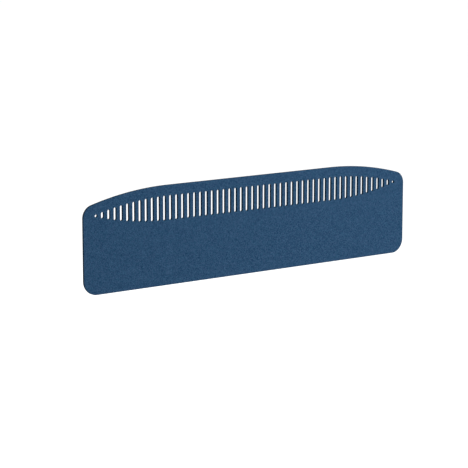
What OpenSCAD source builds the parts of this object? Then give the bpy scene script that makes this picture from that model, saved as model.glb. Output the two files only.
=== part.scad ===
// Desk privacy panel: a pressed felt board with a row of upright slots,
// hung on the rear edge of a desk by two screw clamps fixed to its back.
// Frame: X along the desk edge, Y from the panel towards the desk's user,
// Z up. Y = 0 is the rear edge of the desktop and Z = 0 its top surface.

/* [Panel] */
// Length of the panel along the desk edge
panel_w = 1400; // [1200:50:1800]
// Full height of the panel at its middle
panel_h = 345; // [320:5:400]
// Thickness of the felt board
panel_t = 9; // [9:1:12]
// How far the panel hangs below the top of the desk
panel_drop = 105; // [105:5:120]
// Distance from each end at which the top edge starts to fall
fall_start = 345; // [300:5:360]
// Radius of the falling part of the top edge
fall_r = 1184; // [1100:2:1400]
// Radius of the two bottom corners
bottom_corner_r = 50; // [30:5:60]
// Radius of the two top corners
top_corner_r = 45; // [30:5:60]

/* [Slots] */
// Width of each upright slot
slot_w = 11; // [8:1:14]
// Distance from one slot to the next
slot_pitch = 25; // [20:1:30]
// Distance from each end of the panel to the nearest slot's centre
slot_end = 50; // [50:5:80]
// Length of the longest slots
slot_h = 86; // [60:2:90]
// Board left above the longest slots
slot_cap = 35.5; // [30:0.5:45]

/* [Desktop] */
// Thickness of the desktop that the clamps are set to
desk_t = 25; // [20:1:30]
// Thinnest desktop that the clamps take
desk_min = 10; // [10:1:18]
// Thickest desktop that the clamps take
desk_max = 40; // [32:1:40]

/* [Clamps] */
// Distance from each end of the panel to its clamp's middle
clamp_inset = 250; // [200:10:400]
// Width of the steel strip that the clamps are bent from
strip_w = 50; // [44:2:60]
// Thickness of the strip
strip_t = 4; // [3:0.5:5]
// Depth of the jaws over and under the desktop
jaw_depth = 54; // [50:1:60]
// Distance from the desk edge to the clamp screw
screw_y = 30; // [26:1:34]
// Diameter of the clamp screw
screw_d = 8; // [8:1:8]

/* [Fixing plate] */
// Width of the plate between clamp and panel
plate_w = 110; // [100:5:140]
// Height of the plate
plate_h = 125; // [120:5:130]
// Thickness of the plate
plate_t = 2.5; // [2:0.5:3]

/* [Hidden] */
$fn = 64;
over = 1; // how far a cutter runs past the face that it opens

// Planes from the desk edge back to the face of the panel
edge_pad_t = 1.5;
strip_front = -edge_pad_t;
strip_back = strip_front - strip_t;
panel_back = strip_back - plate_t;
panel_front = panel_back - panel_t;
panel_z0 = -panel_drop;
panel_z1 = panel_h - panel_drop;

// Outline of the panel
half_w = panel_w / 2;
fall_x = half_w - fall_start;
fall_z = panel_z1 - fall_r;
corner_x = half_w - top_corner_r;
corner_z = fall_z + sqrt(pow(fall_r - top_corner_r, 2) - pow(corner_x - fall_x, 2));
// Where the top corner's round runs into the falling edge
join_x = fall_x + (corner_x - fall_x) * fall_r / (fall_r - top_corner_r);

// Slots: their ends follow the top edge, and its mirror image below
slot_top = panel_z1 - slot_cap;
slot_mid = slot_top - slot_h / 2;
slot_r = slot_w / 2;
lens_r = fall_r - slot_cap;
slot_count = 1 + 2 * floor((half_w - slot_end) / slot_pitch);
slot_x0 = -(slot_count - 1) / 2 * slot_pitch;

// Clamp, about its own middle line
bend_in = 3;
bend_out = bend_in + strip_t;
strip_corner_r = 6;
jaw_pad_t = 2;
arm_gap = 16; // from the thickest desktop down to the lower arm
arm_top = -desk_max - arm_gap;
arm_bottom = arm_top - strip_t;
spine_top = 62;
jaw_back = strip_front + strip_t; // user's side of the upper jaw's upright
pad_half_w = strip_w / 2 - 3;
soft_corner_r = 4;
edge_pad_z0 = -48;
edge_pad_z1 = -6;
jaw_pad_y0 = 8;
jaw_pad_y1 = jaw_depth - 2;
weld_flange_r = 10;
weld_flange_t = 1.5;
stud_x = 13;
stud_z = 42;
stud_r = 3;
stud_hole_r = 3.3;
stud_head_r = 4.5;
washer_r = 6;
washer_t = 1.2;
nut_flat = 10;
nut_h = 5.5;
nut_dome_r = 4.2;
nut_neck_h = 1;
stud_tip_y = jaw_back + washer_t + nut_h + 1;

// Fixing plate and its screws
plate_r = 12;
plate_z0 = -45;
panel_screw_x = plate_w / 2 - 11;
panel_screw_z = [plate_z0 + 12, plate_z0 + plate_h / 2, plate_z0 + plate_h - 12];
panel_screw_r = 2;
panel_screw_hole_r = 2.2;
panel_screw_head_r = 4;
panel_screw_head_h = 2.6;
panel_screw_in = 7; // depth of the screws in the felt
drive_w = 1;
drive_l = 4.4;
drive_h = 1.5;

// Pressure foot and clamp screw, down from the top of the foot
foot_z = -desk_t;
travel_up = desk_t - desk_min;
pad_r = 15;
pad_t = 3;
cup_r = 17;
cup_wall = 1.8;
cup_lip = 1.5;
cup_t = 3;
boss_r = 7;
boss_h = 6;
foot_h = pad_t + cup_t + boss_h;
neck_r = 3;
neck_play = 0.05;
neck_float = 0.2;
ring_t = 0.8;
ring_r = 5.5;
groove_r = 2.4;
ring_z = foot_z - pad_t + 0.2;
neck_top = foot_z - 1.5;
recess_r = 6.5;
recess_h = 1.8;
shoulder_z = foot_z - foot_h - neck_float;
thread_r = screw_d / 2 - 0.05;
arm_hole_r = screw_d / 2 + 0.5;
weld_nut_flat = 13;
weld_nut_h = 8;
weld_nut_z = arm_bottom - weld_nut_h;
knob_top = weld_nut_z - travel_up - 1.5;
knob_h = 16;
knob_hub_r = 9;
knob_hub_h = 4;
knob_core_r = 14.8;
knob_lobe_r = 4;
knob_lobe_at = 14;
knob_lobes = 6;
insert_r = 5.5;
insert_h = 12;
screw_end = knob_top - insert_h;

felt_blue = [0.2, 0.31, 0.43];
powder_grey = [0.22, 0.23, 0.25];
zinc = [0.72, 0.74, 0.76];
rubber_black = [0.09, 0.09, 0.09];
plastic_black = [0.13, 0.13, 0.14];
brass_yellow = [0.78, 0.62, 0.3];

// Half length of the slot at x: full in the middle, then its end keeps a
// constant distance from the falling edge, down to a quarter of its width
function slot_half(x) =
    let (d = max(0, abs(x) - fall_x))
    max(slot_r / 2, slot_h / 2 - lens_r + sqrt(lens_r * lens_r - d * d));

// A cylinder along Y, from y0 to y1
module y_rod(r, y0, y1, sides = 64) {
    translate([0, y0, 0])
        rotate([-90, 0, 0])
            cylinder(r = r, h = y1 - y0, $fn = sides);
}

// A cylinder along Z, from z0 to z1
module z_rod(r, z0, z1, sides = 64) {
    translate([0, 0, z0])
        cylinder(r = r, h = z1 - z0, $fn = sides);
}

// A hexagonal prism along Z, measured across its flats
module z_hex(flat, z0, z1) {
    z_rod(flat / sqrt(3), z0, z1, 6);
}

// A plate in the XZ plane with four round corners
module round_plate(x1, z0, z1, y0, y1, r) {
    translate([-x1 + r, y0, z0])
        cube([2 * (x1 - r), y1 - y0, z1 - z0]);
    translate([-x1, y0, z0 + r])
        cube([2 * x1, y1 - y0, z1 - z0 - 2 * r]);
    for (x = [-x1 + r, x1 - r], z = [z0 + r, z1 - r])
        translate([x, 0, z])
            y_rod(r, y0, y1);
}

// Places its children at the left clamp, or at the right one
module at_clamp(side) {
    translate([side * (half_w - clamp_inset), 0, 0])
        children();
}

// Places its children at both studs of a clamp
module at_studs() {
    for (x = [-stud_x, stud_x])
        translate([x, 0, stud_z])
            children();
}

// Places its children at the six panel screws of a clamp
module at_panel_screws() {
    for (x = [-panel_screw_x, panel_screw_x], z = panel_screw_z)
        translate([x, 0, z])
            children();
}

// Places its children on the axis of the clamp screw
module at_screw() {
    translate([0, screw_y, 0])
        children();
}

// The outline of one end of the board, from its middle to the end at +X
module board_end(y0, y1) {
    h = y1 - y0;
    // Middle stretch, with the flat top edge
    translate([0, y0, panel_z0])
        cube([fall_x, h, panel_h]);
    // Under the falling edge
    intersection() {
        translate([fall_x, 0, fall_z])
            y_rod(fall_r, y0, y1, 360);
        translate([fall_x - over, y0, panel_z0])
            cube([join_x - fall_x + over, h, panel_h]);
    }
    // The straight end, up to its top corner
    translate([join_x - over, y0, panel_z0])
        cube([half_w - join_x + over, h, corner_z - panel_z0]);
    translate([corner_x, 0, corner_z])
        y_rod(top_corner_r, y0, y1);
}

// Takes the square bottom corner off the end at +X
module bottom_corner_cut(y0, y1) {
    r = bottom_corner_r;
    difference() {
        translate([half_w - r, y0, panel_z0 - over])
            cube([r + over, y1 - y0, r + over]);
        translate([half_w - r, 0, panel_z0 + r])
            y_rod(r, y0 - over, y1 + over);
    }
}

// One slot with full round ends; the shortest ones lie on their side
module slot(x) {
    half = slot_half(x);
    r = min(slot_r, half);
    dx = slot_r - r;
    dz = half - r;
    y0 = panel_front - over;
    y1 = panel_back + over;
    if (dx + dz > 0)
        translate([x - dx - (dz > 0 ? r : 0), y0, slot_mid - dz - (dx > 0 ? r : 0)])
            cube([dz > 0 ? 2 * r : 2 * dx, y1 - y0, dz > 0 ? 2 * dz : 2 * r]);
    for (k = dx + dz > 0 ? [-1, 1] : [0])
        translate([x + k * dx, 0, slot_mid + k * dz])
            y_rod(r, y0, y1);
}

module felt_panel() {
    color(felt_blue)
        difference() {
            union() {
                board_end(panel_front, panel_back);
                mirror([1, 0, 0])
                    board_end(panel_front, panel_back);
            }
            bottom_corner_cut(panel_front - over, panel_back + over);
            mirror([1, 0, 0])
                bottom_corner_cut(panel_front - over, panel_back + over);
            for (i = [0 : slot_count - 1])
                slot(slot_x0 + i * slot_pitch);
            for (side = [-1, 1])
                at_clamp(side)
                    at_panel_screws()
                        y_rod(panel_screw_r, panel_back - panel_screw_in, panel_back + over);
        }
}

module fixing_plate(side) {
    color(powder_grey)
        at_clamp(side)
            difference() {
                round_plate(plate_w / 2, plate_z0, plate_z0 + plate_h, panel_back, strip_back, plate_r);
                at_panel_screws()
                    y_rod(panel_screw_hole_r, panel_back - over, strip_back + over);
                at_studs()
                    y_rod(stud_head_r, panel_back - over, strip_back + over);
            }
}

module panel_screws(side) {
    color(zinc)
        at_clamp(side)
            at_panel_screws()
                difference() {
                    union() {
                        y_rod(panel_screw_r, panel_back - panel_screw_in, strip_back + 1);
                        y_rod(panel_screw_head_r, strip_back, strip_back + panel_screw_head_h);
                    }
                    translate([-drive_l / 2, strip_back + panel_screw_head_h - drive_h, -drive_w / 2])
                        cube([drive_l, drive_h + over, drive_w]);
                    translate([-drive_w / 2, strip_back + panel_screw_head_h - drive_h, -drive_l / 2])
                        cube([drive_w, drive_h + over, drive_l]);
                }
}

module clinch_studs(side) {
    color(zinc)
        at_clamp(side)
            at_studs() {
                y_rod(stud_head_r, panel_back, strip_back);
                y_rod(stud_r, panel_back + 1, stud_tip_y);
            }
}

// A quarter round bend of the strip about the X axis. Its centre is at y, z,
// and the bend lies on the low side of y, and on the low side of z
module strip_bend(y, z) {
    x = strip_w / 2;
    intersection() {
        difference() {
            translate([-x, y, z])
                rotate([0, 90, 0])
                    cylinder(r = bend_out, h = 2 * x);
            translate([-x - over, y, z])
                rotate([0, 90, 0])
                    cylinder(r = bend_in, h = 2 * x + 2 * over);
        }
        translate([-x - over, y - 2 * bend_out, z - 2 * bend_out])
            cube([2 * x + 2 * over, 2 * bend_out, 2 * bend_out]);
    }
}

// An upright strip from z0 to z1 with its two top corners rounded
module upright(y0, y1, z0, z1) {
    x = strip_w / 2;
    r = strip_corner_r;
    translate([-x, y0, z0])
        cube([2 * x, y1 - y0, z1 - z0 - r]);
    translate([-x + r, y0, z1 - 2 * r])
        cube([2 * (x - r), y1 - y0, 2 * r]);
    for (k = [-x + r, x - r])
        translate([k, 0, z1 - r])
            y_rod(r, y0, y1);
}

// A lying strip from y0 to y1 with its two far corners rounded
module lying(y0, y1, z0, z1) {
    x = strip_w / 2;
    r = strip_corner_r;
    translate([-x, y0, z0])
        cube([2 * x, y1 - y0 - r, z1 - z0]);
    translate([-x + r, y1 - 2 * r, z0])
        cube([2 * (x - r), 2 * r, z1 - z0]);
    for (k = [-x + r, x - r])
        translate([k, y1 - r, 0])
            z_rod(r, z0, z1);
}

// Spine and lower arm, bent from one strip
module clamp_arm(side) {
    color(powder_grey)
        at_clamp(side)
            difference() {
                union() {
                    upright(strip_back, strip_front, arm_bottom + bend_out, spine_top);
                    strip_bend(strip_back + bend_out, arm_bottom + bend_out);
                    lying(strip_back + bend_out, jaw_depth, arm_bottom, arm_top);
                }
                at_studs()
                    y_rod(stud_hole_r, strip_back - over, strip_front + over);
                at_screw()
                    z_rod(arm_hole_r, arm_bottom - over, arm_top + over);
            }
}

// Upper jaw, bent from the same strip and bolted to the spine
module upper_jaw(side) {
    color(powder_grey)
        at_clamp(side)
            difference() {
                union() {
                    upright(strip_front, jaw_back, jaw_pad_t + bend_out, spine_top);
                    strip_bend(strip_front + bend_out, jaw_pad_t + bend_out);
                    lying(strip_front + bend_out, jaw_depth, jaw_pad_t, jaw_pad_t + strip_t);
                }
                at_studs()
                    y_rod(stud_hole_r, strip_front - over, jaw_back + over);
            }
}

module weld_nut(side) {
    color(zinc)
        at_clamp(side)
            at_screw()
                difference() {
                    union() {
                        z_hex(weld_nut_flat, weld_nut_z, arm_bottom - 1);
                        z_rod(weld_flange_r, arm_bottom - weld_flange_t, arm_bottom);
                    }
                    z_rod(screw_d / 2, weld_nut_z - over, arm_bottom + over);
                }
}

// Soft strip on the spine, where the edge of the desktop bears
module edge_pad(side) {
    color(rubber_black)
        at_clamp(side)
            round_plate(pad_half_w, edge_pad_z0, edge_pad_z1, strip_front, 0, soft_corner_r);
}

// Soft pad under the upper jaw
module jaw_pad(side) {
    x = pad_half_w;
    r = soft_corner_r;
    color(rubber_black)
        at_clamp(side) {
            translate([-x + r, jaw_pad_y0, 0])
                cube([2 * (x - r), jaw_pad_y1 - jaw_pad_y0, jaw_pad_t]);
            translate([-x, jaw_pad_y0 + r, 0])
                cube([2 * x, jaw_pad_y1 - jaw_pad_y0 - 2 * r, jaw_pad_t]);
            for (k = [-x + r, x - r], y = [jaw_pad_y0 + r, jaw_pad_y1 - r])
                translate([k, y, 0])
                    z_rod(r, 0, jaw_pad_t);
        }
}

module stud_washers(side) {
    color(zinc)
        at_clamp(side)
            at_studs()
                difference() {
                    y_rod(washer_r, jaw_back, jaw_back + washer_t);
                    y_rod(stud_hole_r, jaw_back - over, jaw_back + washer_t + over);
                }
}

// Domed nuts that close the ends of the studs
module cap_nuts(side) {
    y0 = jaw_back + washer_t;
    color(zinc)
        at_clamp(side)
            at_studs()
                difference() {
                    union() {
                        y_rod(nut_flat / sqrt(3), y0, y0 + nut_h, 6);
                        y_rod(nut_dome_r, y0 + nut_h - 1, y0 + nut_h + nut_neck_h);
                        translate([0, y0 + nut_h + nut_neck_h, 0])
                            sphere(r = nut_dome_r);
                    }
                    y_rod(stud_r, y0 - over, stud_tip_y);
                }
}

// Steel cup that holds the soft pad and turns on the screw's neck
module pressure_plate(side) {
    pad_bottom = foot_z - pad_t;
    cup_bottom = pad_bottom - cup_t;
    color(zinc)
        at_clamp(side)
            at_screw()
                difference() {
                    union() {
                        z_rod(cup_r, cup_bottom, pad_bottom + cup_lip);
                        z_rod(boss_r, cup_bottom - boss_h, cup_bottom + 1);
                    }
                    z_rod(pad_r, pad_bottom, foot_z);
                    z_rod(neck_r + neck_play, cup_bottom - boss_h - over, foot_z);
                }
}

// Soft pad of the foot, hollow underneath around the end of the neck
module pressure_pad(side) {
    color(rubber_black)
        at_clamp(side)
            at_screw()
                difference() {
                    z_rod(pad_r, foot_z - pad_t, foot_z);
                    z_rod(recess_r, foot_z - pad_t - over, foot_z - pad_t + recess_h);
                }
}

// Clamp screw: thread, turned neck and the groove for its retaining ring
module clamp_screw(side) {
    color(zinc)
        at_clamp(side)
            at_screw()
                difference() {
                    union() {
                        z_rod(thread_r, screw_end, shoulder_z);
                        z_rod(neck_r, shoulder_z - 1, neck_top);
                    }
                    difference() {
                        z_rod(neck_r + over, ring_z, ring_z + ring_t);
                        z_rod(groove_r, ring_z - over, ring_z + ring_t + over);
                    }
                }
}

module retaining_ring(side) {
    color(zinc)
        at_clamp(side)
            at_screw()
                difference() {
                    z_rod(ring_r, ring_z, ring_z + ring_t);
                    z_rod(groove_r, ring_z - over, ring_z + ring_t + over);
                }
}

// Lobed hand knob, with a blind hole for the insert
module screw_knob(side) {
    color(plastic_black)
        at_clamp(side)
            at_screw()
                difference() {
                    union() {
                        z_rod(knob_hub_r, knob_top - knob_hub_h - 1, knob_top);
                        z_rod(knob_core_r, knob_top - knob_h, knob_top - knob_hub_h);
                        for (i = [0 : knob_lobes - 1])
                            rotate([0, 0, (i + 0.5) * 360 / knob_lobes])
                                translate([knob_lobe_at, 0, 0])
                                    z_rod(knob_lobe_r, knob_top - knob_h, knob_top - knob_hub_h);
                    }
                    z_rod(insert_r, knob_top - insert_h, knob_top + over);
                }
}

// Threaded insert moulded into the knob
module knob_insert(side) {
    color(brass_yellow)
        at_clamp(side)
            at_screw()
                difference() {
                    z_rod(insert_r, knob_top - insert_h, knob_top);
                    z_rod(thread_r, knob_top - insert_h - over, knob_top + over);
                }
}

felt_panel();
fixing_plate(-1);  // left_fixing_plate
panel_screws(-1);  // left_panel_screws
clinch_studs(-1);  // left_clinch_studs
clamp_arm(-1);  // left_clamp_arm
weld_nut(-1);  // left_weld_nut
edge_pad(-1);  // left_edge_pad
upper_jaw(-1);  // left_upper_jaw
jaw_pad(-1);  // left_jaw_pad
stud_washers(-1);  // left_stud_washers
cap_nuts(-1);  // left_cap_nuts
pressure_plate(-1);  // left_pressure_plate
pressure_pad(-1);  // left_pressure_pad
clamp_screw(-1);  // left_clamp_screw
retaining_ring(-1);  // left_retaining_ring
screw_knob(-1);  // left_screw_knob
knob_insert(-1);  // left_knob_insert
fixing_plate(1);  // right_fixing_plate
panel_screws(1);  // right_panel_screws
clinch_studs(1);  // right_clinch_studs
clamp_arm(1);  // right_clamp_arm
weld_nut(1);  // right_weld_nut
edge_pad(1);  // right_edge_pad
upper_jaw(1);  // right_upper_jaw
jaw_pad(1);  // right_jaw_pad
stud_washers(1);  // right_stud_washers
cap_nuts(1);  // right_cap_nuts
pressure_plate(1);  // right_pressure_plate
pressure_pad(1);  // right_pressure_pad
clamp_screw(1);  // right_clamp_screw
retaining_ring(1);  // right_retaining_ring
screw_knob(1);  // right_screw_knob
knob_insert(1);  // right_knob_insert
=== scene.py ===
"""Desk privacy panel: a pressed-felt board with a band of upright slots, held on the
rear edge of a desk by two screw clamps behind it.

Lengths are metres in the frame of the model: X along the desk edge, Y from the panel
towards the desk's user, Z up. Each operator makes one piece or one group of like
pieces, and main() calls them in order.
"""

import math

import bmesh
import bpy
import numpy as np
from bpy.props import FloatProperty, FloatVectorProperty, IntProperty, PointerProperty
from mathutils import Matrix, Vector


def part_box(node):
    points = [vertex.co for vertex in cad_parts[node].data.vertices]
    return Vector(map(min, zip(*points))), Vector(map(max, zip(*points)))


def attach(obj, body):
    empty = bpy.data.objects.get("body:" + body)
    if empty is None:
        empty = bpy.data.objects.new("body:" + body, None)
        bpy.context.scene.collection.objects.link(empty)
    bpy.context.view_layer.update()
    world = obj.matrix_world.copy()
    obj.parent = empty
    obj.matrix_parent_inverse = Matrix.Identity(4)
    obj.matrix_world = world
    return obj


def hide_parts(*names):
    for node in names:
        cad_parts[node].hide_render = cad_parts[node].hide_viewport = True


bl_info = {
    "name": "Desk privacy panel",
    "version": (1, 0, 0),
    "blender": (4, 5, 0),
    "location": "View3D > Sidebar > Privacy Panel",
    "description": "Builds a slotted felt desk panel and the screw clamps that hold it",
    "category": "Add Mesh",
}

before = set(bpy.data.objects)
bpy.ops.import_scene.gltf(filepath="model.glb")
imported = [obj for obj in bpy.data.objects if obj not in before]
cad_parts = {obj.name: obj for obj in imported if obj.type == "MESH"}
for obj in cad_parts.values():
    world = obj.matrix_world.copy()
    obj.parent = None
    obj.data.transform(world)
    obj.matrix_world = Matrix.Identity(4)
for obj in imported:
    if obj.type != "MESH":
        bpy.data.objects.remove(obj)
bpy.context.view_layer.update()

MM = 0.001
SIDES = ("left", "right")
FRAME_BODY = "panel_frame"
WELD = 1e-6  # points closer than this are one point
SUPPORT = 0.0004  # distance from an edge to the row of points that keeps the face beside it flat
ARC_STEPS = 4  # steps round a softened edge
HALF_TURN_STEPS = 12  # steps round half of a hole
ROW_MARGIN = 0.08  # least share of a column between a row of holes and the plate's edge

# Radii that pieces share where they fit together, and the play between them
THREAD = 3.95 * MM
PLAY = 0.05 * MM
NECK = 3.0 * MM
NECK_GROOVE = 2.4 * MM
STUD = 3.0 * MM
STUD_HOLE = 3.3 * MM
SCREW_HOLE = 4.5 * MM
PANEL_SCREW_HEAD = 4.0 * MM
PANEL_SCREW_SHANK = 2.0 * MM
PANEL_SCREW_HOLE = 2.2 * MM

CHAMFER_CONE = 1.155  # radius of a nut's corners over its half width, a little past 2 / sqrt(3)

# How much red, green and blue vary between the felt's darkest and lightest tufts
FELT_CONTRAST = (0.96, 0.60, 0.46)


# ---------------------------------------------------------------- settings


def length(name, description, default):
    """A length, in metres."""
    return FloatProperty(name=name, description=description, default=default, unit="LENGTH", precision=4)


def tint(name, description, default):
    """A colour, as linear red, green and blue."""
    return FloatVectorProperty(
        name=name, description=description, default=default, subtype="COLOR", min=0.0, max=1.0
    )


class PrivacyBoardSettings(bpy.types.PropertyGroup):
    """Sizes and colours of the felt board."""

    fall_start: length("Fall start", "Distance from each end at which the top edge starts to fall", 0.345)
    fall_radius: length("Fall radius", "Radius of the falling part of the top edge", 1.184)
    top_corner: length("Top corners", "Radius of the two top corners", 0.045)
    bottom_corner: length("Bottom corners", "Radius of the two bottom corners", 0.050)
    slot_width: length("Slot width", "Width of each slot", 0.011)
    slot_pitch: length("Slot pitch", "Distance from one slot to the next", 0.025)
    slot_length: length("Slot length", "Length of the longest slots", 0.086)
    slot_cap: length("Slot cap", "Board left above the longest slots", 0.0355)
    slot_count: IntProperty(name="Slots", description="Number of slots", default=53, min=1)
    edge_round: length("Edge round", "Radius of the softened edges of the board", 0.0008)
    face: tint("Felt", "Mean colour of the felt", (0.0157, 0.0450, 0.0915))
    light_fibre: tint("Light fibres", "Colour of the lightest fibres", (0.085, 0.150, 0.240))
    # Cut edge brightness: partly the felt's own darker cut, partly painted shade of the slot walls and
    # board edges
    cut_edge_tone_and_painted_shade: FloatProperty(
        name="Cut edge", description="Brightness of the cut edges against the faces", default=0.28, min=0.0
    )
    mottle: FloatProperty(
        name="Mottle", description="Strength of the cloudy light and dark in the felt", default=1.0, min=0.0
    )


class PrivacyHardwareSettings(bpy.types.PropertyGroup):
    """Sizes and colours of the clamps."""

    strip: length("Strip", "Thickness of the steel strip that the clamps are bent from", 0.004)
    bend: length("Bend", "Inner radius of the strip's bends", 0.003)
    strip_corner: length("Strip corners", "Radius of the corners at the strip's free ends", 0.006)
    plate_corner: length("Plate corners", "Radius of the fixing plate's corners", 0.012)
    pad_corner: length("Pad corners", "Radius of the soft pads' corners", 0.004)
    edge_round: length("Edge round", "Radius of the steel strip's softened edges", 0.0005)
    thread_pitch: length("Thread pitch", "Pitch of the clamp screw's thread", 0.00125)
    thread_depth: length("Thread depth", "Depth of the clamp screw's thread", 0.0007)
    powder: tint("Powder coat", "Colour of the powder-coated steel", (0.030, 0.032, 0.036))
    zinc: tint("Zinc", "Colour of the zinc-plated pieces", (0.58, 0.59, 0.60))
    plastic: tint("Knob", "Colour of the moulded knobs", (0.014, 0.014, 0.015))
    rubber: tint("Rubber", "Colour of the soft pads", (0.018, 0.018, 0.019))
    brass: tint("Brass", "Colour of the knobs' inserts", (0.60, 0.42, 0.16))


class PrivacyStageSettings(bpy.types.PropertyGroup):
    """Camera, lights and floor."""

    lens: FloatProperty(name="Lens", description="Focal length in millimetres", default=151.65, min=1.0)
    camera: FloatVectorProperty(
        name="Camera",
        description="Where the camera stands",
        default=(-4.1255, -5.4391, 1.2208),
        unit="LENGTH",
    )
    azimuth: FloatProperty(
        name="Azimuth",
        description="Turn of the view about Z",
        default=math.radians(-36.71),
        subtype="ANGLE",
    )
    elevation: FloatProperty(
        name="Elevation",
        description="How far the view looks down",
        default=math.radians(9.885),
        subtype="ANGLE",
    )
    floor: length("Floor", "Height of the floor", -0.86)
    floor_size: length("Floor size", "Length of the floor's sides", 160.0)
    floor_glow: FloatProperty(
        name="Floor glow", description="Light that the floor adds to stay white", default=0.10, min=0.0
    )
    sky: FloatProperty(name="Sky", description="Strength of the even light all round", default=1.0, min=0.0)
    key: FloatProperty(name="Key light", description="Power of the main light", default=150.0, min=0.0)
    front_fill: FloatProperty(
        name="Front fill", description="Power of the fill light in front", default=9.0, min=0.0
    )
    rear_fill: FloatProperty(
        name="Rear fill", description="Power of the light behind", default=80.0, min=0.0
    )


# ---------------------------------------------------------------- shader maths


class Value:
    """An output socket that takes part in Python expressions: each operator adds a Math node."""

    def __init__(self, shader, socket):
        self.shader = shader
        self.socket = socket

    def math(self, operation, *terms):
        """A Math node of that operation on these terms, in their order."""
        return self.shader.node("ShaderNodeMath", {"operation": operation}, dict(enumerate(terms)))

    def __add__(self, other):
        return self.math("ADD", self, other)

    def __sub__(self, other):
        return self.math("SUBTRACT", self, other)

    def __mul__(self, other):
        return self.math("MULTIPLY", self, other)

    def __truediv__(self, other):
        return self.math("DIVIDE", self, other)

    def __abs__(self):
        return self.math("ABSOLUTE", self)

    __radd__ = __add__
    __rmul__ = __mul__


class Shader:
    """A material while it is being put together. node() adds any node, and the other methods are short
    forms of it for the nodes that these finishes use."""

    def __init__(self, name):
        self.material = bpy.data.materials.new(name)
        self.material.use_nodes = True
        self.tree = self.material.node_tree
        self.tree.nodes.clear()
        self.place = self.node("ShaderNodeTexCoord", output="Object")

    def node(self, kind, settings=None, sockets=None, output=0):
        """Adds a node: its own settings first, then its sockets, by name or number, as values or links.
        A ramp's settings may hold stops, a list of (position, colour). Returns one of its outputs."""
        node = self.tree.nodes.new(kind)
        for key, value in (settings or {}).items():
            if key == "stops":
                while len(node.color_ramp.elements) < len(value):
                    node.color_ramp.elements.new(1.0)
                for stop, (position, shade) in zip(node.color_ramp.elements, value):
                    stop.position, stop.color = position, (*shade, 1.0)
            else:
                setattr(node, key, value)
        for key, value in (sockets or {}).items():
            if isinstance(value, Value):
                self.tree.links.new(value.socket, node.inputs[key])
            else:
                node.inputs[key].default_value = value
        return Value(self, node.outputs[output]) if node.outputs else None

    def turned_place(self, size, turn=(0.0, 0.0, 0.0), shift=(0.0, 0.0, 0.0)):
        """Object coordinates after a turn, counted in lengths of that size along each axis."""
        sockets = {"Vector": self.place, "Location": shift, "Rotation": turn, "Scale": size}
        return self.node("ShaderNodeMapping", {"vector_type": "TEXTURE"}, sockets)

    def noise(self, vector, scale=1.0, detail=2.0, roughness=0.5):
        """Cloudy noise between about 0.2 and 0.8, 0.5 on average."""
        sockets = {"Vector": vector, "Scale": scale, "Detail": detail, "Roughness": roughness}
        return self.node("ShaderNodeTexNoise", None, sockets)

    def spread(self, value, low, high, start=0.0, end=1.0):
        """The value from low to high taken to start..end in a straight line, and held beyond."""
        sockets = {"Value": value, 1: low, 2: high, 3: start, 4: end}
        return self.node("ShaderNodeMapRange", None, sockets)

    def blend(self, factor, one, other):
        """A colour between one and other by the factor."""
        one, other = (c if isinstance(c, Value) else (*c, 1.0) for c in (one, other))
        sockets = {0: factor, 6: one, 7: other}
        return self.node("ShaderNodeMix", {"data_type": "RGBA"}, sockets, output=2)

    def tinted(self, shade, tint):
        """A colour multiplied by another, channel by channel."""
        return self.node("ShaderNodeVectorMath", {"operation": "MULTIPLY"}, {0: shade, 1: tint})

    def brighten(self, shade, factor):
        """A colour with all of its channels multiplied by the factor."""
        return self.node("ShaderNodeVectorMath", {"operation": "SCALE"}, {0: shade, "Scale": factor})

    def bump(self, height, distance, strength=1.0):
        """The surface's normal tilted by a height field whose full height is distance."""
        sockets = {"Height": height, "Distance": distance, "Strength": strength}
        return self.node("ShaderNodeBump", None, sockets)

    def finish(self, **sockets):
        """Feeds the surface shader and returns the material. Underscores in names stand for spaces."""
        sockets = {key.replace("_", " "): value for key, value in sockets.items()}
        surface = self.node("ShaderNodeBsdfPrincipled", None, sockets)
        self.node("ShaderNodeOutputMaterial", None, {"Surface": surface})
        return self.material


# ---------------------------------------------------------------- finishes


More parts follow.
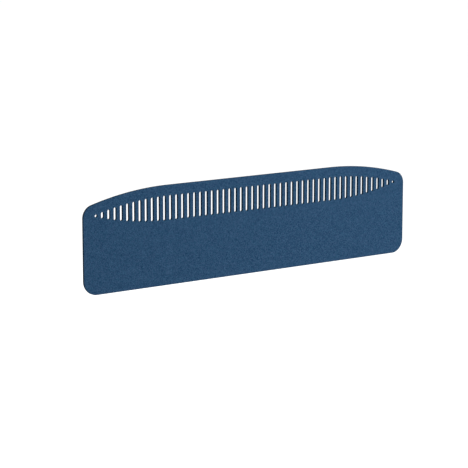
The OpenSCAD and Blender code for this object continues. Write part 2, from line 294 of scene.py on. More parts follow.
def felt_finish(board):
    """Heathered pressed felt: fibres drawn out in several directions of the board's plane and thin across
    it, a cloudy mottle, and darker cut edges: partly the felt's own darker cut, partly painted shade of
    the slot walls and edges. The edge mask is the distance from the middle of the board's thickness, so it
    needs only the place of the point."""
    s = board.s
    shader = Shader("pressed_felt")
    fibre = None
    for i, turn in enumerate((14, 62, 108, 151)):
        place = shader.turned_place((0.011, 0.0005, 0.0006), (0, math.radians(turn), 0), (0.3 * i, 0, 0))
        strand = shader.noise(place, detail=1.5)
        fibre = strand if fibre is None else fibre.math("MAXIMUM", fibre, strand)
    tuft = shader.noise(shader.turned_place((0.0023, 0.002, 0.0023)), detail=2.0, roughness=0.6)
    cloud = shader.noise(shader.turned_place((0.040, 0.040, 0.028)), detail=2.0)
    hue = shader.noise(shader.turned_place((0.0050, 0.002, 0.0050), shift=(4, 1, 2)), detail=2.0)
    light = 0.5 + s.mottle * ((tuft - 0.5) * 2.4 + (cloud - 0.5) * 0.12 + (fibre - 0.62) * 1.6)
    contrast = shader.blend(light, [1 - c for c in FELT_CONTRAST], [1 + c for c in FELT_CONTRAST])
    warm = [c * k for c, k in zip(s.face, (1.10, 0.98, 1.00))]
    cool = [c * k for c, k in zip(s.face, (0.90, 1.02, 1.00))]
    shade = shader.tinted(shader.blend(shader.spread(hue, 0.35, 0.65), warm, cool), contrast)
    shade = shader.blend(shader.spread(fibre, 0.70, 0.85, 0.0, 0.35), shade, s.light_fibre)
    depth = shader.node("ShaderNodeSeparateXYZ", None, {0: shader.place}, output="Y")
    off_middle = abs(depth - (board.y0 + board.y1) / 2) / ((board.y1 - board.y0) / 2)
    # Cut edges and slot walls darkened: partly the felt's own darker cut, partly painted shade
    cut = shader.spread(off_middle, 0.80, 0.96, s.cut_edge_tone_and_painted_shade, 1.0)
    return shader.finish(
        Base_Color=shader.brighten(shade, cut),
        Roughness=0.96,
        Normal=shader.bump(fibre * 0.7 + tuft * 0.3, 0.0006),
        Specular_IOR_Level=0.05,
        Sheen_Weight=0.05,
        Sheen_Roughness=0.5,
        Sheen_Tint=(0.35, 0.55, 0.80, 1.0),
    )


def powder_finish(s):
    """Powder coat: a fine pebbled skin, a little uneven in gloss, with pale rubbed specks."""
    shader = Shader("powder_coat")
    pebble = shader.noise(shader.place, 1900.0, 1.5, 0.45)
    drift = shader.noise(shader.place, 60.0, 2.0)
    rubbed = shader.spread(shader.noise(shader.place, 420.0, 4.0, 0.7), 0.66, 0.74, 0.0, 0.35)
    return shader.finish(
        Base_Color=shader.blend(rubbed, s.powder, [c * 2.6 for c in s.powder]),
        Roughness=shader.spread(drift, 0.3, 0.7, 0.46, 0.60) + (pebble - 0.5) * 0.15,
        Normal=shader.bump(pebble, 0.00022),
        Metallic=0.0,
    )


def zinc_finish(s):
    """Bright zinc plate: faint rolling streaks, cloudy passivation and small dull spots."""
    shader = Shader("zinc_plate")
    cloud = shader.noise(shader.place, 260.0, 3.0, 0.6)
    streak = shader.noise(shader.turned_place((0.0040, 0.0004, 0.0004)), detail=2.0)
    spot = shader.spread(shader.noise(shader.place, 900.0, 3.0, 0.6), 0.60, 0.72)
    bluish = [c * k for c, k in zip(s.zinc, (0.80, 0.84, 0.90))]
    shade = shader.blend(shader.spread(cloud, 0.3, 0.7), s.zinc, bluish)
    return shader.finish(
        Base_Color=shader.blend(spot * 0.35, shade, [c * 0.55 for c in s.zinc]),
        Metallic=1.0,
        Roughness=shader.spread(streak, 0.3, 0.7, 0.26, 0.40) + spot * 0.18,
        Normal=shader.bump(streak * 0.6 + cloud * 0.4, 0.00004),
    )


def knob_finish(s):
    """Moulded plastic with a fine spark-eroded grain."""
    shader = Shader("grained_plastic")
    grain = shader.noise(shader.place, 2300.0, 2.0, 0.6)
    haze = shader.noise(shader.place, 130.0, 2.0)
    return shader.finish(
        Base_Color=shader.blend(shader.spread(grain, 0.35, 0.75), s.plastic, [c * 1.9 for c in s.plastic]),
        Roughness=shader.spread(haze, 0.3, 0.7, 0.40, 0.54),
        Normal=shader.bump(grain, 0.00010),
    )


def rubber_finish(s):
    """Matt rubber with a dusty bloom and a slight mould texture."""
    shader = Shader("soft_rubber")
    grain = shader.noise(shader.place, 1500.0, 2.0, 0.6)
    bloom = shader.spread(shader.noise(shader.place, 170.0, 4.0, 0.65), 0.42, 0.70, 0.0, 0.5)
    return shader.finish(
        Base_Color=shader.blend(bloom, s.rubber, [c * 2.4 for c in s.rubber]),
        Roughness=shader.spread(bloom, 0.0, 0.5, 0.66, 0.86),
        Normal=shader.bump(grain, 0.00008),
        Specular_IOR_Level=0.35,
    )


def brass_finish(s):
    """Machined brass, slightly tarnished in patches."""
    shader = Shader("brass")
    patch = shader.noise(shader.place, 500.0, 3.0, 0.6)
    lathe = shader.noise(shader.turned_place((0.01, 0.01, 0.00015)), detail=1.0)
    return shader.finish(
        Base_Color=shader.blend(shader.spread(patch, 0.4, 0.7), s.brass, [c * 0.6 for c in s.brass]),
        Metallic=1.0,
        Roughness=shader.spread(patch, 0.3, 0.7, 0.24, 0.42),
        Normal=shader.bump(lathe, 0.00003),
    )


# ---------------------------------------------------------------- meshes


def grid_faces(rows, cols, start):
    """Quads of a grid of rows x cols points, which are numbered row by row from start."""
    i = start + np.arange(rows - 1)[:, None] * cols + np.arange(cols - 1)
    return np.stack([i, i + 1, i + cols + 1, i + cols], axis=-1).reshape(-1, 4)


def closed_mesh(name, grids):
    """One mesh from grids of points, each (rows, columns, 3). Points that meet are welded and the faces
    turned outwards. Raises an error if the result isn't a closed surface."""
    points, faces, start = [], [], 0
    for grid in grids:
        rows, cols = grid.shape[:2]
        points.append(grid.reshape(-1, 3))
        faces.append(grid_faces(rows, cols, start))
        start += rows * cols
    mesh = bpy.data.meshes.new(name)
    mesh.from_pydata(np.concatenate(points).tolist(), [], np.concatenate(faces).tolist())
    bm = bmesh.new()
    bm.from_mesh(mesh)
    bmesh.ops.remove_doubles(bm, verts=bm.verts, dist=WELD)
    bmesh.ops.recalc_face_normals(bm, faces=bm.faces)
    open_edges = sum(not edge.is_manifold for edge in bm.edges)
    bm.to_mesh(mesh)
    bm.free()
    if open_edges:
        raise RuntimeError(f"{name} has {open_edges} edges that don't join two faces")
    return mesh


def add_piece(name, grids, material, body, node, crease=38.0):
    """Puts a finished piece in the scene, smooth but for edges sharper than crease degrees. It moves with
    the body and stands for the CAD node of that name."""
    mesh = closed_mesh(name, grids)
    mesh.materials.append(material)
    mesh.shade_smooth()
    mesh.set_sharp_from_angle(angle=math.radians(crease))
    piece = bpy.data.objects.new(name, mesh)
    bpy.context.scene.collection.objects.link(piece)
    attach(piece, body)
    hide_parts(node)
    return piece


# ---------------------------------------------------------------- plates


class RoundedBlank:
    """Outline of a flat blank from u0 to u1 and v0 to v1, with one radius at its four corners."""

    def __init__(self, u0, u1, v0, v1, radius):
        self.u0, self.u1, self.v0, self.v1, self.radius = u0, u1, v0, v1, radius

    def edges(self, u, inset):
        """Low and high edge at u, of the outline shrunk by inset. Inside a corner it is its circle."""
        run = np.clip(np.maximum(self.u0 + self.radius - u, u - self.u1 + self.radius), 0, None)
        drop = self.radius - np.sqrt(np.clip((self.radius - inset) ** 2 - run**2, 0, None))
        return self.v0 + drop, self.v1 - drop

    def stations(self, inset):
        """Places along u where the outline needs points: evenly spaced round its corners."""
        bow = (self.radius - inset) * np.cos(np.linspace(0, np.pi / 2, 9))
        return np.concatenate([self.u0 + self.radius - bow, self.u1 - self.radius + bow])


class Board:
    """Outline of the felt board, whose top edge runs level, falls along an arc and ends in a round."""

    def __init__(self, settings):
        low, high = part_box("felt_panel")
        self.s = settings
        self.y0, self.y1 = low.y, high.y
        self.z0, self.z1 = low.z, high.z
        self.half = high.x
        self.fall_x = self.half - settings.fall_start
        self.corner_x = self.half - settings.top_corner
        run, reach = self.corner_x - self.fall_x, settings.fall_radius - settings.top_corner
        self.fall_z = self.z1 - settings.fall_radius
        self.corner_z = self.fall_z + math.sqrt(reach**2 - run**2)

    def edges(self, u, inset):
        """Bottom and top edge at u, of the board shrunk by inset. The top corner's round takes over from
        the falling arc on the line through both centres."""
        s = self.s
        x = np.abs(u)
        low_run = np.clip(x - self.half + s.bottom_corner, 0, None)
        low_reach = (s.bottom_corner - inset) ** 2 - low_run**2
        low = self.z0 + s.bottom_corner - np.sqrt(np.clip(low_reach, 0, None))
        fall = self.fall_z + np.sqrt((s.fall_radius - inset) ** 2 - np.clip(x - self.fall_x, 0, None) ** 2)
        high_run = np.clip(x - self.corner_x, 0, None)
        rounded_end = self.corner_z + np.sqrt(np.clip((s.top_corner - inset) ** 2 - high_run**2, 0, None))
        share = (s.fall_radius - inset) / (s.fall_radius - s.top_corner)
        return low, np.where(x > self.fall_x + (self.corner_x - self.fall_x) * share, rounded_end, fall)

    def stations(self, inset):
        """Places along u where the outline needs points: its two ends, closer towards the tips."""
        start = self.corner_x - 0.5 * self.s.slot_width
        end = start + (self.half - inset - start) * np.sin(np.linspace(0, np.pi / 2, 19))
        return np.concatenate([-end, end])

    def slots(self):
        """The row of slots. Their ends keep a constant distance from the top edge, and the lower ends
        mirror the upper ones, so the half length is that of a lens: h/2 - R + sqrt(R^2 - d^2), where d
        is the distance past the start of the fall. A slot shorter than its width lies on its side."""
        s = self.s
        centres = (np.arange(s.slot_count) - (s.slot_count - 1) / 2) * s.slot_pitch
        lens = s.fall_radius - s.slot_cap
        past = np.clip(np.abs(centres) - self.fall_x, 0, None)
        tall = s.slot_length / 2 - lens + np.sqrt(lens**2 - past**2)
        return HoleRow(self.z1 - s.slot_cap - s.slot_length / 2, centres, s.slot_width / 2, tall)


class HoleRow:
    """A row of round-ended openings along u at height v, each with its half width and half height."""

    def __init__(self, v, centres, wide, tall):
        self.v = v
        self.centres = np.asarray(centres, float)
        self.wide = np.full(self.centres.shape, wide)
        self.tall = np.full(self.centres.shape, tall)
        self.radius = np.minimum(self.wide, self.tall)

    def sides(self, inset):
        """Left and right side of each opening, grown by inset, as (openings, 2)."""
        return np.stack([self.centres - self.wide - inset, self.centres + self.wide + inset], axis=-1)

    def edges(self, u, inset, low, high):
        """Lower and upper edge of the openings at u, grown by inset. Between openings both run straight
        from one opening's side to the next, which leaves a strip there if the sides are upright.
        v - reach - sqrt(r^2 - (|du| - flat)^2) is the lower edge of a round-ended opening."""
        near = np.abs(u[:, None] - self.centres).argmin(axis=1)
        radius = self.radius[near] + inset
        aside = np.clip(np.abs(u - self.centres[near]) - (self.wide - self.radius)[near], 0, None)
        cap = np.sqrt(np.where(aside < radius - WELD / 100, radius**2 - aside**2, 0))
        reach = np.interp(u, self.sides(inset).ravel(), np.repeat(self.tall - self.radius, 2))
        margin = ROW_MARGIN * (high - low)
        middle = np.clip(self.v, low + margin, high - margin)
        return middle - reach - cap, middle + reach + cap

    def stations(self, inset):
        """Places along u where the openings need points: evenly spaced round their ends, and a
        supporting one beside each side."""
        bow = np.sin(np.linspace(-np.pi / 2, np.pi / 2, HALF_TURN_STEPS + 1))
        across = self.centres[:, None] + (self.wide + inset)[:, None] * bow
        return np.concatenate([across.ravel(), (self.sides(inset) + [-SUPPORT, SUPPORT]).ravel()])


def merged_stations(needed, extra):
    """All needed places along u in order, and the extra ones that stand clear of them."""
    needed, extra = (np.unique(np.round(np.concatenate(places), 9)) for places in (needed, extra))
    inside = (extra > needed[0]) & (extra < needed[-1])
    clear = np.abs(extra[:, None] - needed).min(axis=1) > SUPPORT / 4
    return np.sort(np.concatenate([needed, extra[inside & clear]]))


def columns(low, high, split):
    """Points from low to high along each column: a supporting row beside each end and split stretches
    between them, as (rows, columns)."""
    room = high - low
    edge = np.minimum(SUPPORT, room / 4)
    inner = np.linspace(0, 1, split + 1)[:, None] * (room - 2 * edge) + low + edge
    return np.concatenate([low[None], inner, high[None]])


def without_repeats(line):
    """A closed line of points with each point that repeats the one before it left out."""
    step = np.linalg.norm(line - np.roll(line, 1, axis=0), axis=1)
    return line[step > WELD]


def edge_wall(line, side, w0, top, arris):
    """The wall round a closed line, with quarter rounds of radius arris up to both faces. The line is the
    border of the faces. Each point moves out along its mitre, the turned sum of the directions before
    and after it over one plus their cosine, by arris minus the inset of the quarter round."""
    ahead = np.roll(line, -1, axis=0) - line
    ahead /= np.linalg.norm(ahead, axis=1, keepdims=True)
    both = ahead + np.roll(ahead, 1, axis=0)
    both /= np.sum(both * ahead, axis=1, keepdims=True)
    out = side * np.stack([both[:, 1], -both[:, 0]], axis=-1)
    t = np.linspace(0, np.pi / 2, ARC_STEPS + 1)[:, None]
    w1 = top(line[:, 0])
    rise = arris * (1 - np.cos(t))
    shift = arris * np.sin(t)
    w = np.concatenate([w0 + rise + 0 * w1, (w1 - rise)[::-1]])
    shift = np.concatenate([shift, shift[::-1]])[..., None]
    wall = np.concatenate([line + out * shift, w[..., None]], axis=-1)
    return np.concatenate([wall, wall[:, :1]], axis=1)


def plate(outline, rows, extra, w0, w1, arris, split=2, relief=None):
    """Surfaces of a plate with rows of openings, as grids of points (u, v, w): both faces in columns
    along v, left open at the openings, and a wall with softened edges round the outline and round each
    opening. extra are more places along u, and relief is a function of u that is taken off the face at
    w1."""
    ends = outline.stations(arris)
    needed = [ends.min(keepdims=True), ends.max(keepdims=True), *(row.stations(arris) for row in rows)]
    u = merged_stations(needed, [ends, extra])

    def top(u):
        return w1 - (relief(u) if relief else 0 * u)

    def end_points(k):
        """Places along v of the faces' points on the first column, k = 0, or the last, k = -1."""
        return np.unique(np.concatenate([v[:, k] for at, v in patches if abs(at[k] - u[k]) < WELD]))

    low, high = outline.edges(u, arris)
    gaps = [row.edges(u, arris, low, high) for row in rows]
    lows = [low, *(above for _, above in gaps)]
    highs = [*(below for below, _ in gaps), high]
    patches = [(u, columns(a, b, split)) for a, b in zip(lows, highs)]
    lines = []
    for row, (below, above) in zip(rows, gaps):
        sides = row.sides(arris)
        for start, end in np.concatenate([u[:1], sides.ravel(), u[-1:]]).reshape(-1, 2):
            part = (u >= start - WELD) & (u <= end + WELD)
            if np.max((above - below)[part]) > WELD:
                patches.append((u[part], columns(below[part], above[part], split)))
        for start, end in sides:
            part = (u >= start - WELD) & (u <= end + WELD)
            across = u[part]
            left, right = columns(below[part][[0, -1]], above[part][[0, -1]], split).T
            around = [(across, below[part]), (right * 0 + across[-1], right)]
            around += [(across[::-1], above[part][::-1]), (left * 0 + across[0], left[::-1])]
            lines.append((np.concatenate([np.stack(p, axis=-1) for p in around]), -1))
    left, right = end_points(0), end_points(-1)
    around = [(u, low), (right * 0 + u[-1], right), (u[::-1], high[::-1]), (left * 0 + u[0], left[::-1])]
    lines.append((np.concatenate([np.stack(p, axis=-1) for p in around]), 1))
    grids = []
    for at, v in patches:
        at = np.broadcast_to(at, v.shape)
        grids += [np.stack([at, v, w], axis=-1) for w in (np.full(v.shape, w0), top(at))]
    return grids + [edge_wall(without_repeats(line), side, w0, top, arris) for line, side in lines]


def flat_plate(grids, x):
    """Stands a plate upright across the depth: u along X from x, v up, w along Y."""
    return [np.stack([g[..., 0] + x, g[..., 2], g[..., 1]], axis=-1) for g in grids]


def folded_strip(grids, x, y, z, straight, radius):
    """Bends a strip whose v runs along X. Its middle starts at (y, z) and goes down for the straight
    length, round a quarter turn of that radius and out along Y; w is measured towards the inside of the
    bend. With a = (u - straight) / radius held to the quarter turn, the middle is at y + R (1 - cos a)
    and z - straight - R sin a, and the direction of w is (cos a, sin a)."""
    bent = []
    for g in grids:
        u, v, w = np.moveaxis(g, -1, 0)
        a = np.clip((u - straight) / radius, 0, np.pi / 2)
        out = np.clip(u - straight - radius * np.pi / 2, 0, None)
        along = y + radius * (1 - np.cos(a)) + out + w * np.cos(a)
        up = z - np.clip(u, None, straight) - radius * np.sin(a) + w * np.sin(a)
        bent.append(np.stack([v + x, along, up], axis=-1))
    return bent


# ---------------------------------------------------------------- turned pieces


def rounded(points, radii, steps=5):
    """A line through points with its inner corners rounded: at each, the arc of its radius that touches
    both sides, from corner + a r / tan(h) to corner + b r / tan(h), where a and b are the directions of
    the sides and h is half the angle between them."""
    points = np.asarray(points, float)
    line = [points[:1]]
    for before, corner, after, radius in zip(points, points[1:], points[2:], radii):
        a = (before - corner) / np.linalg.norm(before - corner)
        b = (after - corner) / np.linalg.norm(after - corner)
        half = 0.5 * np.arccos(np.clip(a @ b, -1, 1))
        if radius == 0:
            line.append(corner[None])
            continue
        centre = corner + (a + b) / np.linalg.norm(a + b) * radius / np.sin(half)
        start = corner + a * radius / np.tan(half) - centre
        end = corner + b * radius / np.tan(half) - centre
        full = np.pi - 2 * half
        t = np.linspace(0, 1, steps + 1)[:, None]
        line.append(centre + (np.sin((1 - t) * full) * start + np.sin(t * full) * end) / np.sin(full))
    line.append(points[-1:])
    return np.concatenate(line)


def refined(profile, step):
    """A profile with more points, none further than step from the next."""
    span = np.linalg.norm(np.diff(profile, axis=0), axis=1)
    count = np.maximum(1, np.ceil(span / step)).astype(int)
    at = np.concatenate([i + np.arange(n) / n for i, n in enumerate(count)] + [[len(span)]])
    index = np.arange(len(profile))
    return np.stack([np.interp(at, index, profile[:, k]) for k in (0, 1)], axis=-1)


def ring(r0, r1, z0, z1, edge):
    """Section of a ring from radius r0 to r1 and height z0 to z1 with rounded edges, as a closed line."""
    m = (r0 + r1) / 2
    return rounded([(m, z0), (r1, z0), (r1, z1), (r0, z1), (r0, z0), (m, z0)], [edge] * 4)


def about_z(r, a, height):
    """Points at distance r and angle a round Z: x = r cos a, y = r sin a, z = height."""
    return np.stack([r * np.cos(a), r * np.sin(a), height + 0 * a], axis=-1)


def turned(profile, sides=64):
    """A profile of (radius, height) carried round Z."""
    return about_z(profile[:, :1], np.linspace(0, 2 * np.pi, sides + 1), profile[:, 1:])


def nut(profile, half, round_above, sides=72):
    """A profile carried round Z and cut back to a hexagon of that half width, below a height: its
    distance at angle a is half / cos(a to the middle of the nearest flat). Cones leave curved
    chamfers where they meet the flats."""
    a = np.linspace(0, 2 * np.pi, sides + 1)
    r, h = profile[:, :1], profile[:, 1:]
    r = np.where(h < round_above, np.minimum(r, half / np.cos(a % (np.pi / 3) - np.pi / 6)), r + 0 * a)
    return about_z(r, a, h)


def threaded_rod(z0, z1, crest, pitch, depth, sides=28, per_turn=6):
    """A right-hand screw thread from z0 to z1. Line k of the points climbs with the thread, z = z0 +
    pitch (k / per_turn + a / 2 pi), and is held between the ends. The radius is crest - depth *
    groove((z - z0) / pitch - a / 2 pi), where the groove is a flattened triangle wave, and at both ends
    it narrows to the root over one pitch."""
    a = np.linspace(0, 2 * np.pi, sides + 1)
    k = np.arange(-per_turn, math.ceil((z1 - z0) / pitch * per_turn) + 1)[:, None]
    z = np.clip(z0 + pitch * (k / per_turn + a / (2 * np.pi)), z0, z1)
    phase = ((z - z0) / pitch - a / (2 * np.pi)) % 1
    groove = np.clip(abs(2 * phase - 1) * 1.5 - 0.25, 0, 1)
    near_end = np.clip(1 - np.minimum(z - z0, z1 - z) / pitch, 0, 1)
    return about_z(np.minimum(crest - depth * groove, crest - depth * near_end), a, z)


def about_y(grid):
    """Turns a surface about Z into one about Y: height z becomes y."""
    return np.stack([grid[..., 0], grid[..., 2], -grid[..., 1]], axis=-1)


def moved(grid, x, y, z):
    """The surface, shifted."""
    return grid + np.array([x, y, z])


def ribbed_rod(crest, depth, heights):
    """Profile of a rod with rings for a thread: its radius steps between crest and crest - depth."""
    return np.stack([crest - depth * (np.arange(heights.size) % 2), heights], axis=-1)


def cross_recess_screw(head, rise, shank, reach):
    """A pan head over a ribbed shank, about Z, with a cross cut in its top. The cut's outline at angle a
    is min(arm / cos a, half_arm / |sin a|), with a measured from its nearest arm. Each line of points is
    at share * outline + radius, so they pass from the cut to the round of the head."""
    arm, half_arm, deep = 2.2 * MM, 0.5 * MM, 1.5 * MM
    corner = math.atan2(half_arm, arm)
    on_arm = np.linspace(-corner, corner, 4)
    between_arms = np.linspace(corner, np.pi / 2 - corner, 7)[1:-1]
    quarter = np.concatenate([on_arm, between_arms])
    a = np.concatenate([quarter + turn * np.pi / 2 for turn in range(4)] + [[2 * np.pi - corner]])
    near = (a + np.pi / 4) % (np.pi / 2) - np.pi / 4
    cut = np.minimum(arm / np.cos(near), half_arm / np.maximum(np.abs(np.sin(near)), WELD))
    crown = (0.72 * head, rise - 0.1 * MM)
    brow = (0.9 * head, rise - 0.4 * MM)
    rim = (head, 0.3 * MM)
    dome = rounded([crown, brow, rim, (head, 0), (shank, 0)], [0.6 * MM, 0.2 * MM, 0])
    ribbed = ribbed_rod(shank, 0.35 * MM, -np.arange(0.2 * MM, reach - 2 * MM, 0.7 * MM))
    tip = np.array([[0.6 * shank, -reach + 0.8 * MM], [0, -reach]])
    rows = [(0, 0, rise - deep), (0.78, 0, rise - deep), (1, 0, rise - 0.05 * MM), (1.12, 0, rise)]
    rows += [(0, r, h) for r, h in np.concatenate([dome, ribbed, tip])]
    share, radius, height = np.array(rows).T[..., None]
    return about_z(share * cut + radius, a, height)


def lobed_knob(lobe_reach, height, bore, bore_depth, sides=144):
    """A hand knob from z = 0 down to -height, with a hub above its lobes. Its outline is the soft union of
    a core circle and lobe circles, d cos a + sqrt(r^2 - d^2 sin^2 a) at angle a from a lobe's middle,
    joined by a quadratic blend. Each line of points is at share * outline + radius, so they pass from the
    lobes to the round hub and bore."""
    lobes, lobe, core = 6, 4 * MM, 14.8 * MM
    blend, swell = 1.6 * MM, 0.6
    hub, shoulder = 9 * MM, -4 * MM
    lobe_at = lobe_reach - lobe
    a = np.linspace(0, 2 * np.pi, sides + 1)
    near = (a % (2 * np.pi / lobes)) - np.pi / lobes
    side = np.clip(lobe**2 - (lobe_at * np.sin(near)) ** 2, 0, None)
    reach = np.where(side > 0, lobe_at * np.cos(near) + np.sqrt(side), 0)
    mix = np.clip(0.5 + 0.5 * (reach - core) / blend, 0, 1)
    outline = core + (reach - core) * mix + swell * blend * mix * (1 - mix)
    neck_line = [(bore, 0), (hub, 0), (hub + 0.4 * MM, shoulder), (hub + 4 * MM, shoulder)]
    neck = rounded(neck_line, [0.8 * MM, 1.6 * MM])
    edge_line = [(-7 * MM, shoulder), (0, shoulder), (0, -height), (-5 * MM, -height)]
    edge = rounded([*edge_line, (-5.6 * MM, -height + 1 * MM)], [2.2 * MM, 1.6 * MM, 0.4 * MM])
    dish = -height + 1.4 * MM
    rows = [(0, 0, -bore_depth), (0, bore, -bore_depth), *((0, r, h) for r, h in neck[:-1])]
    rows += [(1, r, h) for r, h in edge[1:]]
    rows += [(0.5, 1.5 * MM, dish - 0.2 * MM), (0, 3 * MM, dish), (0, 0, dish)]
    share, radius, z = np.array(rows).T[..., None]
    return about_z(share * outline + radius, a, z)


# ---------------------------------------------------------------- clamp pieces


def middle(low, high):
    """The point halfway between two corners."""
    return (low + high) / 2


def copies(grid, places):
    """Copies of a surface, one at each place."""
    return [moved(grid, *place) for place in places]


def on_axis(centre, grids):
    """Surfaces about Z, moved onto the upright line through centre."""
    return [moved(grid, centre.x, centre.y, 0) for grid in grids]


def stud_places(side, y):
    """Where both studs of a clamp are, at that depth."""
    low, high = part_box(f"{side}_clinch_studs")
    head = (high.z - low.z) / 2
    return [(x, y, middle(low, high).z) for x in (low.x + head, high.x - head)]


def panel_screw_places(side, y):
    """Where the six panel screws of a clamp are, at that depth."""
    low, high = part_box(f"{side}_panel_screws")
    head = PANEL_SCREW_HEAD
    heights = (low.z + head, middle(low, high).z, high.z - head)
    return [(x, y, z) for x in (low.x + head, high.x - head) for z in heights]


def hole_rows(places, x, radius):
    """Rows of round holes of that radius at the places, counted across from x."""
    heights = sorted({place[2] for place in places})
    return [HoleRow(z, sorted(px - x for px, _, pz in places if pz == z), radius, radius) for z in heights]


def fixing_plate(side, s):
    """The plate that is screwed to the felt: six screw holes and, in two more, the heads of the studs."""
    low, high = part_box(f"{side}_fixing_plate")
    x, half = middle(low, high).x, (high.x - low.x) / 2
    stud_low, stud_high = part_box(f"{side}_clinch_studs")
    rows = hole_rows(panel_screw_places(side, 0), x, PANEL_SCREW_HOLE)
    rows += hole_rows(stud_places(side, 0), x, (stud_high.z - stud_low.z) / 2)
    rows.sort(key=lambda row: row.v)
    blank = RoundedBlank(-half, half, low.z, high.z, s.plate_corner)
    return flat_plate(plate(blank, rows, np.zeros(1), low.y, high.y, s.edge_round), x)


def bent_strip(side, node, s):
    """A steel strip that hangs on the studs and bends out along Y: the clamp arm, whose lower leg has the
    hole of the clamp screw, or the upper jaw. The flat strip is as long as its middle line."""
    low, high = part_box(f"{side}_{node}")
    x, half = middle(low, high).x, (high.x - low.x) / 2
    bend = s.bend + s.strip / 2
    straight = high.z - low.z - s.strip / 2 - bend
    total = straight + bend * (np.pi / 2) + high.y - low.y - s.strip / 2 - bend
    (left_x, _, stud_z), (right_x, _, _) = stud_places(side, 0)
    rows = [HoleRow(px - x, (high.z - stud_z,), STUD_HOLE, STUD_HOLE) for px in (left_x, right_x)]
    if node == "clamp_arm":
        screw_y = middle(*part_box(f"{side}_clamp_screw")).y
        rows.insert(1, HoleRow(0, (total - (high.y - screw_y),), SCREW_HOLE, SCREW_HOLE))
    blank = RoundedBlank(0, total, -half, half, s.strip_corner)
    turn = straight + bend * np.linspace(0, np.pi / 2, 13)
    extra = np.concatenate([turn, [straight - SUPPORT, turn[-1] + SUPPORT]])
    grids = plate(blank, rows, extra, -s.strip / 2, s.strip / 2, s.edge_round)
    return folded_strip(grids, x, low.y + s.strip / 2, high.z, straight, bend)


def panel_screws(side):
    """Six pan-head screws through the fixing plate into the felt."""
    low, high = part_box(f"{side}_panel_screws")
    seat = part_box(f"{side}_fixing_plate")[1].y
    screw = cross_recess_screw(PANEL_SCREW_HEAD, high.y - seat, PANEL_SCREW_SHANK, seat - low.y)
    return copies(about_y(screw), panel_screw_places(side, seat))


def clinch_studs(side):
    """Two studs with their heads pressed flush into the back of the fixing plate."""
    low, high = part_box(f"{side}_clinch_studs")
    head, long = (high.z - low.z) / 2, high.y - low.y
    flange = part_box(f"{side}_fixing_plate")[1].y - low.y
    start = rounded([(0, 0), (head, 0), (head, flange), (STUD, flange)], [0.2 * MM, 0.2 * MM])
    ribbed = ribbed_rod(STUD, 0.4 * MM, np.arange(flange + 2 * MM, long - 1 * MM, 0.5 * MM))
    tip = [(STUD - 0.6 * MM, long), (0, long)]
    stud = turned(np.concatenate([start, ribbed, tip]), 32)
    return copies(about_y(stud), stud_places(side, low.y))


def stud_washers(side):
    """A washer on each stud."""
    low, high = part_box(f"{side}_stud_washers")
    washer = turned(ring(STUD_HOLE, (high.z - low.z) / 2, 0, high.y - low.y, 0.25 * MM), 48)
    return copies(about_y(washer), stud_places(side, low.y))


def cap_nuts(side):
    """A domed nut on each stud, with chamfered corners and the end of the stud inside."""
    low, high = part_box(f"{side}_cap_nuts")
    half, tall = (high.z - low.z) / 2, high.y - low.y
    corner, dome, body, chamfer = half * CHAMFER_CONE, 4.2 * MM, 5.5 * MM, 0.5 * MM
    bore_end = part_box(f"{side}_clinch_studs")[1].y - low.y
    bore = [(0, bore_end), (STUD, bore_end), (STUD, 0)]
    flats = [(half - 0.2 * MM, 0), (corner, chamfer), (corner, body - chamfer), (half - 0.3 * MM, body)]
    neck = [(dome, body), (dome, tall - dome)]
    line = rounded([*bore, *flats, *neck], [0, 0.2 * MM, 0, 0, 0, 0, 0.3 * MM, 0])
    t = np.linspace(0, np.pi / 2, 13)[1:]
    cap = np.stack([dome * np.cos(t), tall - dome + dome * np.sin(t)], axis=-1)
    cap_nut = nut(np.concatenate([refined(line, 0.25 * MM), cap]), half, body - 0.1 * MM)
    return copies(about_y(cap_nut), stud_places(side, low.y))


def weld_nut(side):
    """The nut under the lower arm: a hexagon below a round flange, its bore chamfered at both ends."""
    low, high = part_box(f"{side}_weld_nut")
    centre = middle(low, high)
    flange, tall = (high.x - low.x) / 2, high.z - low.z
    half, step = 6.5 * MM, tall - 1.5 * MM
    corner, bore = half * CHAMFER_CONE, THREAD + PLAY
    mouth = (bore + 1 * MM, tall)
    inside = [(bore, tall - 0.6 * MM), (bore, 0.6 * MM), (bore + 0.7 * MM, 0)]
    flats = [(half - 0.2 * MM, 0), (corner, 0.6 * MM), (corner, step - 0.01 * MM)]
    line = [mouth, *inside, *flats, (flange, step), (flange, tall), mouth]
    line = refined(rounded(line, [0, 0, 0.1 * MM, 0, 0, 0, 0.3 * MM, 0.3 * MM]), 0.3 * MM)
    return [moved(nut(line, half, step - 0.005 * MM), centre.x, centre.y, low.z)]


def grooved_pad(start, end, half, thick, s):
    """A soft pad with grooves across it, as points (along, across, out of the grooved face)."""
    groove_pitch, groove_mouth, groove_floor = 5.5 * MM, 0.9 * MM, 0.4 * MM
    count = round((end - start) / groove_pitch) - 1
    middles = start + (end - start) * (np.arange(count) + 1) / (count + 1)
    breaks = (middles[:, None] + [-groove_mouth, -groove_floor, groove_floor, groove_mouth]).ravel()
    depths = np.tile([0, 0.4 * thick, 0.4 * thick, 0], count)
    blank = RoundedBlank(start, end, -half, half, s.pad_corner)
    return plate(blank, [], breaks, -thick, 0, 0.3 * MM, relief=lambda u: np.interp(u, breaks, depths))


def edge_pad(side, s):
    """The pad on the spine. Its grooves face the desk's edge."""
    low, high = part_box(f"{side}_edge_pad")
    x = middle(low, high).x
    grids = grooved_pad(low.z, high.z, (high.x - low.x) / 2, high.y - low.y, s)
    return [np.stack([g[..., 1] + x, high.y + g[..., 2], g[..., 0]], axis=-1) for g in grids]


def jaw_pad(side, s):
    """The pad under the upper jaw. Its grooves face the top of the desk."""
    low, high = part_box(f"{side}_jaw_pad")
    x = middle(low, high).x
    grids = grooved_pad(low.y, high.y, (high.x - low.x) / 2, high.z - low.z, s)
    return [np.stack([g[..., 1] + x, g[..., 0], low.z - g[..., 2]], axis=-1) for g in grids]


